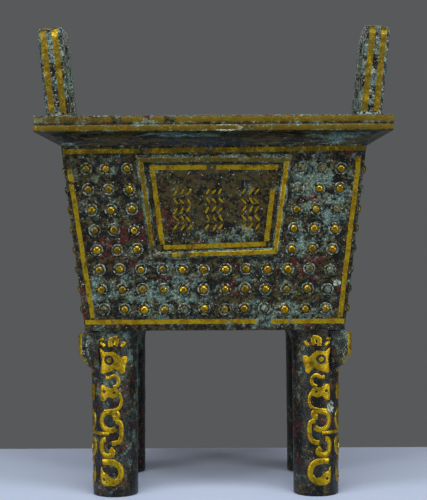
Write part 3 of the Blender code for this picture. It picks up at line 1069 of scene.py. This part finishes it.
def model_frame(quarter, top, foot):
    """Model one wall's tablet frame as a ring of insets."""
    ring = unit_form("plane")
    slant = FRONT_FOOT_SLANT if quarter == 0 else 0.0
    for vertex in ring.data.vertices:
        vertex.co = tablet_corner(vertex.co.x, vertex.co.y, top, foot, slant)
    edit(ring)
    extrude_up(FRAME_SINK + FRAME_EDGE_RELIEF)
    bpy.ops.mesh.inset(thickness=FRAME_FLANK, depth=FRAME_RELIEF - FRAME_EDGE_RELIEF)
    bpy.ops.mesh.inset(thickness=FRAME_CREST, depth=0)
    bpy.ops.mesh.inset(thickness=FRAME_INNER_FLANK, depth=-FRAME_RELIEF - FRAME_SINK)
    bpy.ops.mesh.delete(type="FACE")
    pick(ring, "faces", is_underside)
    bpy.ops.mesh.delete(type="ONLY_FACE")
    pick(ring, "edges", lambda edge: edge.is_boundary)
    bpy.ops.mesh.bridge_edge_loops()
    to_object_mode()
    face_outwards(ring)
    soften_edges(ring, FRAME_ROUNDING, 2, 18)
    bisect_grid(ring, [
        (0, -top / 2, top / 2, FRAME_GRID),
        (1, TABLET_LOW, TABLET_LOW + TABLET_HEIGHT, FRAME_GRID),
    ])
    roughen(ring, *FRAME_SKIN, 9.0 + quarter)
    ring.data.materials.append(frame_bronze)
    ring.data.materials.append(front_frame_gold if quarter == 0 else frame_gold)
    for face in ring.data.polygons:
        on_crest = face.center.z > FRAME_RELIEF - 0.4 * MM and face.normal.z > 0.88
        face.material_index = 1 if on_crest else 0
    ring.data.transform(wall_frame(quarter))
    ring.name = SIDE_NAMES[quarter] + "_tablet_frame"
    smooth_by_angle(ring, 30)
    return ring


frames = [model_frame(quarter, top, foot) for quarter, _, top, foot in WALLS]
print("frame faces:", [len(piece.data.polygons) for piece in frames])

# %% [markdown]
# Marks in the tablet
#
# The front tablet carries three columns of shallow gilt marks. Here they are plain strokes in
# rows: short rounded bars, each a cube that is bevelled, stretched and laid on the wall. The
# rows lean to one side and the other in turn. They stand for writing without being any.

# %% Lay the rows of strokes
COLUMN_PLACES = (-16.9 * MM, 0.0, 19.4 * MM)
STROKE_ROWS = 5
STROKES_IN_ROW = 3
STROKE_TOP = 74.6 * MM
STROKE_STEP = 4.7 * MM
STROKE_SPACING = 3.4 * MM
STROKE_LENGTH = 4.2 * MM
STROKE_THICKNESS = 1.05 * MM
STROKE_RELIEF = 0.22 * MM
STROKE_LEAN = math.radians(35)
STROKE_SHIFT = 0.4 * MM
mark_gold = gilt_finish("mark_gold", -0.1, 0.0, seed=250.0)


def model_stroke():
    """Model one stroke a metre long and wide, a flat bar with round ends."""
    bar = unit_form("cube")
    edit(bar)
    pick(bar, "edges", lambda edge: abs(edge.verts[0].co.z - edge.verts[1].co.z) > 0.5)
    bpy.ops.mesh.bevel(offset=0.45, segments=4)
    to_object_mode()
    face_outwards(bar)
    bar.data.materials.append(mark_gold)
    return bar


def lay_strokes(pattern, dice):
    """Lay three columns of strokes on the front tablet."""
    pieces = []
    for column in COLUMN_PLACES:
        for row in range(STROKE_ROWS):
            lean = STROKE_LEAN if row % 2 else -STROKE_LEAN
            for index in range(STROKES_IN_ROW):
                along = column + (index - 1) * STROKE_SPACING
                along += dice.uniform(-STROKE_SHIFT, STROKE_SHIFT)
                up = STROKE_TOP - row * STROKE_STEP + dice.uniform(-STROKE_SHIFT, STROKE_SHIFT)
                length = STROKE_LENGTH * dice.uniform(0.75, 1.1)
                turn = Matrix.Rotation(lean + dice.uniform(-0.2, 0.2), 4, "Z")
                size = Matrix.Diagonal((STROKE_THICKNESS, length, 2 * STROKE_RELIEF, 1))
                place = wall_frame(0) @ Matrix.Translation((along, up, 0))
                bar = copy_of(pattern)
                bar.data.transform(place @ turn @ size)
                pieces.append(bar)
    return join("tablet_marks", pieces)


stroke = model_stroke()
marks = lay_strokes(stroke, random.Random(5))
bpy.data.objects.remove(stroke)
print("stroke faces:", len(marks.data.polygons))

# %% [markdown]
# Ears
#
# An ear is an upside-down U. A block of the ear's size has its two upper corners rounded by a
# wide bevel, and a smaller block with the same treatment is cut out of it. Then every edge is
# softened, the skin is roughened, and the ear is leant outwards about its foot.

# %% Cut the ears
EAR_RISE = 55.3 * MM
EAR_LENGTH = 36.0 * MM
EAR_THICKNESS = 13.8 * MM
EAR_BAR = 10.0 * MM
EAR_CORNER = 7.0 * MM
EAR_ARCH = 6.0 * MM
EAR_LEAN = math.radians(6.1)
EAR_ROUNDING = 1.2 * MM
EAR_SINK = 2.5 * MM
EAR_GRID = 1.3 * MM
EAR_SKIN = (0.34 * MM, 4 * MM)
EAR_X = RIM_END - EAR_THICKNESS / 2


def round_topped_block(thickness, length, low, high, corner):
    """Model a block with its two upper edges along X rounded."""
    block = unit_form("cube")
    edit(block)
    bpy.ops.transform.resize(value=(thickness, length, high - low))
    bpy.ops.transform.translate(value=(0, 0, (high + low) / 2))

    def is_upper_edge_along_x(edge):
        first, second = edge.verts
        at_top = min(first.co.z, second.co.z) > high - 0.01 * MM
        return at_top and abs(first.co.x - second.co.x) > thickness / 2

    pick(block, "edges", is_upper_edge_along_x)
    bpy.ops.mesh.bevel(offset=corner, segments=7)
    to_object_mode()
    return block


def model_ear(name, side):
    """Model one ear and stand it on the rim."""
    ear = round_topped_block(EAR_THICKNESS, EAR_LENGTH, -EAR_SINK, EAR_RISE, EAR_CORNER)
    ear.name = name
    gap_length = EAR_LENGTH - 2 * EAR_BAR
    gap_top = EAR_RISE - EAR_BAR
    gap = round_topped_block(2 * EAR_THICKNESS, gap_length, -2 * EAR_SINK, gap_top, EAR_ARCH)
    use_modifier(ear, "BOOLEAN", operation="DIFFERENCE", solver="EXACT", object=gap)
    bpy.data.objects.remove(gap)
    soften_edges(ear, EAR_ROUNDING, 3, 40)
    bisect_grid(ear, [
        (0, -EAR_THICKNESS / 2, EAR_THICKNESS / 2, EAR_GRID),
        (1, -EAR_LENGTH / 2, EAR_LENGTH / 2, EAR_GRID),
        (2, 0, EAR_RISE, EAR_GRID),
    ])
    roughen(ear, *EAR_SKIN, 21.0 + side)
    lean = Matrix.Rotation(side * EAR_LEAN, 4, "Y")
    ear.data.transform(Matrix.Translation((side * EAR_X, 0, RIM_TOP)) @ lean)
    smooth_by_angle(ear, 40)
    return ear


ears = [model_ear("left_ear", -1), model_ear("right_ear", 1)]
print("ear faces:", [len(ear.data.polygons) for ear in ears])

# %% [markdown]
# Gold stripes on the ears
#
# Two stripes run up the narrow front of each ear, over its top and down the back. They are masks
# across the ear's thickness, which leans as the ear does. Verdigris fills the strip between them,
# and white deposits gather at the foot and along the edges.

# %% Finish of the ears
EAR_STRIPES = ((-4.7, -1.4), (1.9, 5.1))


def ear_finish():
    """Return the finish of both ears, which mirror each other."""
    f = Finish("ears")
    up = f.z - RIM_TOP / MM
    across = abs(f.x) - EAR_X / MM - up * math.tan(EAR_LEAN)
    patina = Patina(f, green=0.07, chalk=0.05, red=-0.10, slate=0.04, olive=-0.03, seed=400.0)
    nibble = (patina.grit - 0.5) * 0.8 + (patina.middling - 0.5) * 0.8
    stripes = f.most(*[f.band(across + nibble, *stripe) for stripe in EAR_STRIPES])
    outer = f.most(
        f.rise(abs(f.y), EAR_LENGTH / 2 / MM - 5.5, EAR_LENGTH / 2 / MM - 4.5),
        f.rise(up, EAR_RISE / MM - 5.0, EAR_RISE / MM - 4.0),
    )
    patina.add_chalk((1 - f.rise(up, 3.0, 12.0)) * 0.62)
    patina.add_chalk(f.rise(abs(across), 5.6, 6.6) * 0.44)
    patina.add_gold(stripes * outer * f.rise(up + nibble * 3.0, 5.6, 7.0), wear=-0.03, soil=0.13)
    return patina.done()


ear_metal = ear_finish()
for ear in ears:
    ear.data.materials.append(ear_metal)
print("ears finished")

# %% [markdown]
# Legs and fins
#
# The legs are round and hold up the corners. Each is a cylinder whose top is widened, and it
# flares where its inner side meets the base. The fin on its outer corner is a plate: a cube is
# stretched to the plate's size, bisecting planes cut its lower corner off along two slopes, and
# its root is thickened where it grows out of the leg. Its narrow outer edge is gilt.

# %% Turn the legs
LEG_INSET = 14.8 * MM
LEG_FOOT_RADIUS = 12.25 * MM
LEG_TOP_RADIUS = 12.8 * MM
LEG_SINK = 1.5 * MM
LEG_SIDES = 72
LEG_ROUNDING = 0.9 * MM
LEG_GRID = 1.5 * MM
LEG_SKIN = (0.18 * MM, 5 * MM, 31.0)
FLARE_HEIGHT = 10.0 * MM
FLARE_REACH = 3.9 * MM
CORNERS = (
    ("front_left", -1, -1), ("front_right", 1, -1), ("back_right", 1, 1), ("back_left", -1, 1),
)


def leg_axis(side_x, side_y):
    """Return a leg's axis on the ground."""
    inset = BATTER + LEG_INSET
    return Vector((side_x * (HALF_LENGTH - inset), side_y * (HALF_DEPTH - inset), 0))


def leg_radius(height):
    """Return a leg's radius at a height."""
    return LEG_FOOT_RADIUS + (LEG_TOP_RADIUS - LEG_FOOT_RADIUS) * height / LEG_LENGTH


def flare_top(leg, inward):
    """Swell the top of a leg towards the vessel's middle, where it joins the base."""
    for vertex in leg.data.vertices:
        climb = (vertex.co.z - LEG_LENGTH + FLARE_HEIGHT) / FLARE_HEIGHT
        spoke = Vector((vertex.co.x, vertex.co.y, 0)).normalized()
        if climb > 0:
            vertex.co += spoke * FLARE_REACH * climb ** 2 * max(spoke.x * inward, 0.0) ** 4
    leg.data.update()


def model_leg(inward):
    """Model one leg standing on the origin."""
    to_object_mode()
    depth = LEG_LENGTH + LEG_SINK
    bpy.ops.mesh.primitive_cylinder_add(
        vertices=LEG_SIDES, radius=LEG_FOOT_RADIUS, depth=depth, location=(0, 0, depth / 2)
    )
    leg = bpy.context.object
    make_active(leg)
    bpy.ops.object.transform_apply(location=True, rotation=True, scale=True)
    edit(leg)
    pick(leg, "faces", lambda face: face.calc_center_median().z > LEG_LENGTH)
    widen = LEG_TOP_RADIUS / LEG_FOOT_RADIUS
    bpy.ops.transform.resize(value=(widen, widen, 1), center_override=(0, 0, LEG_LENGTH))
    to_object_mode()
    soften_edges(leg, LEG_ROUNDING, 3, 50)
    bisect_grid(leg, [(2, 1 * MM, LEG_LENGTH, LEG_GRID)])
    roughen(leg, *LEG_SKIN, lambda point: 1.0 if point.z > 1.2 * MM else 0.0)
    flare_top(leg, inward)
    return leg


print("leg's place in mm:", [round(n / MM, 2) for n in leg_axis(-1, -1)])

# %% Cut the fins
FIN_REACH = 11.7 * MM
FIN_THICKNESS = 3.0 * MM
FIN_HEIGHT = 24.3 * MM
FIN_STRAIGHT = 11.8 * MM
FIN_CORNER = 1.3 * MM
FIN_GAP_UNDER_BODY = 0.5 * MM
FIN_ROOT_SINK = 3.0 * MM
FIN_ROOT_SPREAD = 1.8
FIN_ROUNDING = 0.4 * MM
FIN_SKIN = (0.14 * MM, 4 * MM, 41.0)


def cut_along(start, end):
    """Cut away what lies outside a slope of the fin, from start to end in X and Z."""
    outward = Vector((start[1] - end[1], 0, end[0] - start[0])).normalized()
    if outward.x < 0:
        outward.negate()
    bpy.ops.mesh.select_all(action="SELECT")
    bpy.ops.mesh.bisect(
        plane_co=(start[0], 0, start[1]), plane_no=outward, use_fill=True, clear_outer=True
    )


def model_fin():
    """Model one fin in the plane of X and Z, its root inside the leg at the origin."""
    fin = unit_form("cube")
    root = LEG_FOOT_RADIUS - FIN_ROOT_SINK
    edge = LEG_TOP_RADIUS + FIN_REACH
    top = LEG_LENGTH - FIN_GAP_UNDER_BODY
    foot = LEG_LENGTH - FIN_HEIGHT
    knee = (edge - 0.4 * FIN_REACH, LEG_LENGTH - (FIN_STRAIGHT + FIN_HEIGHT) / 2)
    edit(fin)
    bpy.ops.transform.resize(value=(edge - root, FIN_THICKNESS, top - foot))
    bpy.ops.transform.translate(value=((edge + root) / 2, 0, (top + foot) / 2))
    cut_along((edge, top - FIN_STRAIGHT), knee)
    cut_along(knee, (LEG_FOOT_RADIUS - FIN_ROOT_SINK / 2, foot))
    cut_along((edge - FIN_CORNER, top), (edge, top - FIN_CORNER))
    pick(fin, "verts", lambda vertex: vertex.co.x < root + 0.1 * MM)
    bpy.ops.transform.resize(value=(1, FIN_ROOT_SPREAD, 1), center_override=(root, 0, 0))
    to_object_mode()
    face_outwards(fin)
    soften_edges(fin, FIN_ROUNDING, 2, 30)
    bisect_grid(fin, [(0, root, edge, LEG_GRID), (2, foot, top, LEG_GRID)])
    fin.data.materials.append(leg_metal)
    fin.data.materials.append(fin_gold)
    for face in fin.data.polygons:
        face.material_index = 1 if face.normal.x > 0.6 else 0
    roughen(fin, *FIN_SKIN)
    return fin


print("fin's reach in mm:", FIN_REACH / MM)

# %% Finish the legs
LEG_CHALK_SPOTS = ((62.5, 48.0, 2.4, 4.2),)


def leg_finish():
    """Return the legs' bronze, chalky on the fins, at the top and in a spot on the front right."""
    f = Finish("legs")
    front = f.rise(f.y * -1.0, 38.0, 40.0)
    green = f.rise(f.x * -1.0, 0.0, 10.0) * 0.05 + f.rise(f.z, 70.0, 88.0) * 0.05 - 0.06
    patina = Patina(
        f, green=green, red=0.02, chalk=-0.02, olive=-0.05, slate=0.06, seed=300.0,
        stretch=(0.6, 0.6, 0.5),
    )
    on_fin = f.rise(abs(f.x), 66.5, 68.0) * f.rise(abs(f.y), 44.5, 46.0)
    patina.add_chalk(on_fin * f.band(f.z, 71.0, 86.0, 2.0) * 0.44)
    patina.add_chalk(f.blobs(f.x, f.z, LEG_CHALK_SPOTS) * front * 0.7)
    patina.add_chalk(f.rise(f.z, 87.0, 91.0) * 0.25)
    return patina.done()


leg_metal = leg_finish()
fin_gold = gilt_finish("fin_gold", -0.06, 0.0, seed=270.0)
print("leg and fin finishes:", leg_metal.name, fin_gold.name)

# %% Stand the legs
def stand_leg(corner, side_x, side_y):
    """Model a leg with its fin and stand it at its corner."""
    leg = model_leg(-side_x)
    leg.data.materials.append(leg_metal)
    fin = model_fin()
    fin.data.transform(Matrix.Rotation(math.atan2(side_y, side_x), 4, "Z"))
    whole = join(corner + "_leg", [leg, fin])
    whole.data.transform(Matrix.Translation(leg_axis(side_x, side_y)))
    smooth_by_angle(whole, 40)
    return whole


legs = [stand_leg(*corner) for corner in CORNERS]
print("leg faces:", [len(leg.data.polygons) for leg in legs])

# %% [markdown]
# Gilt scrolls on the legs
#
# A stylised beast runs down each leg, mirrored about the outer corner: a mask with a ring eye at
# the top, then a small head, linked scrolls and a curled tail. Each line is drawn flat as a
# curve with a round bevel, in millimetres round the leg and up it. Solid plates are filled flat
# curves with a hole for the eye. The flat drawing becomes a mesh, is cut into narrow strips so
# that it can bend, and is wrapped round the leg and pressed to a low relief.

# %% The drawing's lines and plates
SCROLL_RELIEF = 0.38 * MM

# Lines as (width, points), in millimetres from the corner's diagonal and from the ground
MASK_LINES = (
    (2.0, ((2.2, 85.4), (4.9, 85.6))),
    (2.0, ((2.6, 83.4), (4.0, 83.2), (5.2, 81.8))),
    (2.5, ((8.6, 81.8), (8.3, 84.2), (8.7, 86.2), (12.4, 86.4))),
    (2.4, ((12.4, 86.2), (12.2, 84.0), (11.3, 82.4))),
    (2.0, ((14.6, 81.6), (15.8, 82.4), (16.9, 84.2))),
)
HEAD_LINES = (
    (1.9, ((5.8, 64.9), (7.6, 64.3), (9.0, 65.7), (11.0, 66.0), (12.8, 64.5), (13.2, 62.4),
           (12.1, 60.3), (10.0, 59.8))),
    (1.9, ((11.4, 58.4), (13.6, 55.8), (14.6, 52.6), (14.0, 49.6), (12.0, 47.7), (8.8, 46.9),
           (4.6, 46.9))),
)
LINK_LINES = (
    (2.9, ((9.6, 43.0), (11.8, 43.2), (12.2, 45.0), (10.8, 46.4), (7.4, 46.4), (4.2, 45.4),
           (2.7, 42.6), (3.1, 39.2), (5.2, 36.8), (8.8, 35.9), (11.2, 37.6))),
    (2.6, ((10.8, 41.2), (13.0, 41.0), (14.2, 39.4), (14.3, 35.6), (13.9, 31.8), (12.2, 29.6),
           (8.8, 29.2))),
    (1.9, ((0.0, 34.6), (7.4, 34.6))),
    (3.0, ((5.4, 31.4), (3.1, 31.2), (2.4, 27.4), (3.2, 24.0), (5.7, 22.2), (8.4, 22.8),
           (9.8, 24.7), (7.6, 26.2))),
)
TAIL_LINES = (
    (3.3, ((3.4, 19.1), (8.5, 19.5), (12.4, 17.6), (14.1, 13.4), (12.9, 9.8), (9.6, 7.6), (6.0, 7.6))),
)
SCROLL_LINES = MASK_LINES + HEAD_LINES + LINK_LINES + TAIL_LINES

# Plates as (outline, round holes), each hole a (centre, radius)
MASK_PLATE = (
    ((2.6, 80.6), (3.9, 79.6), (5.2, 78.6), (10.3, 78.9), (12.2, 77.4), (14.0, 75.4), (15.9, 76.4),
     (18.1, 76.2), (17.9, 73.9), (16.8, 71.4), (16.0, 67.6), (14.3, 66.7), (12.9, 68.8), (11.0, 69.8),
     (9.4, 68.9), (7.0, 67.9), (4.8, 67.0), (3.1, 67.4), (3.5, 71.2), (3.9, 74.6), (2.6, 78.0)),
    (((7.8, 74.4), 2.75),),
)
HEAD_PLATE = (
    ((3.0, 60.9), (5.2, 60.9), (7.8, 59.1), (11.5, 59.2), (13.2, 57.4), (12.4, 54.9), (9.6, 53.9),
     (7.4, 54.9), (5.9, 53.3), (4.8, 52.2), (3.0, 52.3), (2.5, 56.1)),
    (((4.9, 57.3), 1.0), ((10.4, 56.9), 0.75)),
)
TAIL_PLATE = (
    ((2.4, 16.0), (3.6, 13.6), (6.2, 12.6), (7.6, 10.8), (10.2, 9.8), (10.2, 6.4), (5.0, 6.2),
     (2.6, 7.6), (2.0, 11.5)),
    (((4.2, 9.6), 0.9),),
)
SCROLL_PLATES = (MASK_PLATE, HEAD_PLATE, TAIL_PLATE)
EYE_DOT = ((7.8, 74.4), 1.2)
print("lines and plates:", len(SCROLL_LINES), len(SCROLL_PLATES))

# %% Draw the scrolls flat
PLATE_BEVEL = 0.12 * MM
PLATE_HALF = 0.3 * MM
SCROLL_WIDTH = 18 * MM
SCROLL_GRID = 0.9 * MM
scroll_gold = gilt_finish("scroll_gold", -0.03, -0.01, seed=260.0)


def add_outline(curve, points):
    """Add one closed outline, given in millimetres, to a flat curve."""
    outline = curve.splines.new("POLY")
    outline.points.add(len(points) - 1)
    for point, (x, y) in zip(outline.points, points):
        point.co = (x * MM, y * MM, 0, 1)
    outline.use_cyclic_u = True


def ring_points(centre, radius, segments=16):
    """Return points round a circle."""
    angles = [2 * math.pi * index / segments for index in range(segments)]
    return [(centre[0] + radius * math.cos(a), centre[1] + radius * math.sin(a)) for a in angles]


def line_curve(width, points):
    """Draw one line of the scroll as a round tube along a smooth path."""
    curve = bpy.data.curves.new("line", "CURVE")
    curve.dimensions = "3D"
    curve.bevel_depth = width * MM / 2
    curve.bevel_resolution = 2
    curve.resolution_u = 5
    curve.use_fill_caps = True
    path = curve.splines.new("NURBS")
    path.points.add(len(points) - 1)
    for point, (x, y) in zip(path.points, points):
        point.co = (x * MM, y * MM, 0, 1)
    path.order_u = 3
    path.use_endpoint_u = True
    return curve


def plate_curve(outline, holes):
    """Draw one filled plate with its holes."""
    curve = bpy.data.curves.new("plate", "CURVE")
    curve.dimensions = "2D"
    curve.fill_mode = "BOTH"
    curve.extrude = PLATE_HALF
    curve.bevel_depth = PLATE_BEVEL
    curve.bevel_resolution = 1
    add_outline(curve, outline)
    for centre, radius in holes:
        add_outline(curve, ring_points(centre, radius))
    return curve


def as_mesh(curve, height):
    """Turn a flat curve into a mesh object, pressed from its height to the relief's."""
    drawn = bpy.data.objects.new(curve.name, curve)
    bpy.context.scene.collection.objects.link(drawn)
    make_active(drawn)
    bpy.ops.object.convert(target="MESH")
    pressed = bpy.context.object
    pressed.data.transform(Matrix.Diagonal((1, 1, SCROLL_RELIEF / height, 1)))
    return pressed


def draw_scroll():
    """Draw one half of a leg's ornament as a flat mesh."""
    flat = [as_mesh(line_curve(width, points), width * MM / 2) for width, points in SCROLL_LINES]
    plates = [*SCROLL_PLATES, (ring_points(*EYE_DOT), ())]
    flat += [as_mesh(plate_curve(*plate), PLATE_HALF + PLATE_BEVEL) for plate in plates]
    drawing = join("scroll", flat)
    drawing.data.materials.clear()
    drawing.data.materials.append(scroll_gold)
    bisect_grid(drawing, [(0, 0, SCROLL_WIDTH, SCROLL_GRID)])
    return drawing


scroll = draw_scroll()
print("scroll faces:", len(scroll.data.polygons))

# %% Wrap the scrolls round the legs
def wrap(drawing, axis, diagonal, hand):
    """Return a copy of the flat drawing bent round a leg, to one side of its diagonal."""
    bent = copy_of(drawing)
    for vertex in bent.data.vertices:
        around, height, out = vertex.co
        radius = leg_radius(height)
        angle = diagonal + hand * around / radius
        spoke = Vector((math.cos(angle), math.sin(angle), 0)) * (radius + out)
        vertex.co = axis + spoke + UP * height
    return bent


def gild_leg(corner, side_x, side_y):
    """Wrap both halves of the ornament round one leg."""
    diagonal = math.atan2(side_y, side_x)
    halves = [wrap(scroll, leg_axis(side_x, side_y), diagonal, hand) for hand in (-1, 1)]
    piece = join(corner + "_leg_scrolls", halves)
    face_outwards(piece)
    smooth_by_angle(piece, 45)
    return piece


scrolls = [gild_leg(*corner) for corner in CORNERS]
bpy.data.objects.remove(scroll)
print("scroll faces per leg:", [len(piece.data.polygons) for piece in scrolls])

# %% [markdown]
# Joining the frame
#
# The vessel is one casting with one body, so every piece rides on the root. All of them together
# stand for the one plain node.

# %% Ride and replace
pieces = [shell, *bosses, *frames, marks, *ears, *legs, *scrolls]
for piece in pieces:
    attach(piece, "root")
    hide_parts("vessel")
print("pieces:", len(pieces))

# %% [markdown]
# Stage, light and camera
#
# A plain pale table carries the vessel, with grey beyond its back edge. The light is soft: a
# lamp above the front, a weaker one from each side, and a faint one from behind for the back.
# The camera looks almost level at the front from a little over 70 centimetres.

# %% Table
TABLE_HALF_WIDTH = 1.4
TABLE_BACK = 0.109
TABLE_FRONT = -1.6
TABLE_ROUGHNESS = 0.6
TABLE_SHEEN = 0.15
PALE_TABLE = rgb(157, 168, 189)


def lay_table():
    """Lay a pale table that ends behind the vessel."""
    table = unit_form("plane")
    table.name = "table"
    edit(table)
    bpy.ops.transform.resize(value=(2 * TABLE_HALF_WIDTH, TABLE_BACK - TABLE_FRONT, 1))
    bpy.ops.transform.translate(value=(0, (TABLE_BACK + TABLE_FRONT) / 2, 0))
    to_object_mode()
    f = Finish("table")
    f.feed(f.shader.inputs["Base Color"], PALE_TABLE)
    f.feed(f.shader.inputs["Roughness"], TABLE_ROUGHNESS)
    f.feed(f.shader.inputs["Specular IOR Level"], TABLE_SHEEN)
    table.data.materials.append(f.material)


lay_table()
print("table laid")

# %% Light
BACKDROP_GREY = rgb(88, 89, 90)

# Lamps as (name, place, height of what it points at, size, watts)
LAMPS = (
    ("top_lamp", (0.0, -0.50, 0.85), 0.16, (0.9, 0.5), 13.0),
    ("left_lamp", (-0.95, -0.75, 0.35), 0.15, (0.4, 0.6), 7.2),
    ("right_lamp", (0.95, -0.75, 0.35), 0.15, (0.4, 0.6), 7.2),
    ("back_lamp", (0.0, 1.1, 0.75), 0.15, (0.9, 0.5), 2.2),
)


def area_lamp(name, place, target_height, size, power):
    """Add one soft lamp that points at the vessel's axis."""
    lamp = bpy.data.lights.new(name, "AREA")
    lamp.shape = "RECTANGLE"
    lamp.size, lamp.size_y = size
    lamp.energy = power
    holder = bpy.data.objects.new(name, lamp)
    bpy.context.scene.collection.objects.link(holder)
    holder.location = place
    towards = UP * target_height - Vector(place)
    holder.rotation_euler = towards.to_track_quat("-Z", "Y").to_euler()


for lamp in LAMPS:
    area_lamp(*lamp)
world = bpy.data.worlds.new("studio")
bpy.context.scene.world = world
world.use_nodes = True
world.node_tree.nodes["Background"].inputs["Color"].default_value = BACKDROP_GREY
world.node_tree.nodes["Background"].inputs["Strength"].default_value = 1.0
bpy.context.scene.view_settings.view_transform = "Standard"

# %% Camera
PHOTO_HEIGHT = 500
FOCAL_PIXELS = 1261.0
SENSOR = 36.0
CAMERA_PLACE = (0.0036, -0.7254, 0.1442)
CAMERA_DOWN = 0.0154
CAMERA_TURN = 0.0060
CAMERA_ROLL = -0.0055


def place_camera():
    """Add the camera at the measured place, with the photograph's field of view."""
    lens = bpy.data.cameras.new("camera")
    lens.sensor_fit = "VERTICAL"
    lens.sensor_height = SENSOR
    lens.lens = FOCAL_PIXELS * SENSOR / PHOTO_HEIGHT
    camera = bpy.data.objects.new("camera", lens)
    bpy.context.scene.collection.objects.link(camera)
    turn = Matrix.Rotation(CAMERA_TURN, 4, "Z")
    tilt = Matrix.Rotation(math.pi / 2 - CAMERA_DOWN, 4, "X")
    roll = Matrix.Rotation(CAMERA_ROLL, 4, "Z")
    camera.matrix_world = Matrix.Translation(CAMERA_PLACE) @ turn @ tilt @ roll
    bpy.context.scene.camera = camera
    print("lens in mm:", round(lens.lens, 1))


place_camera()

# %% [markdown]
# The size of the dressed vessel
#
# The dressed vessel has to keep to the frame's box. Its roughened skin may pass the box by a
# fraction of a millimetre.
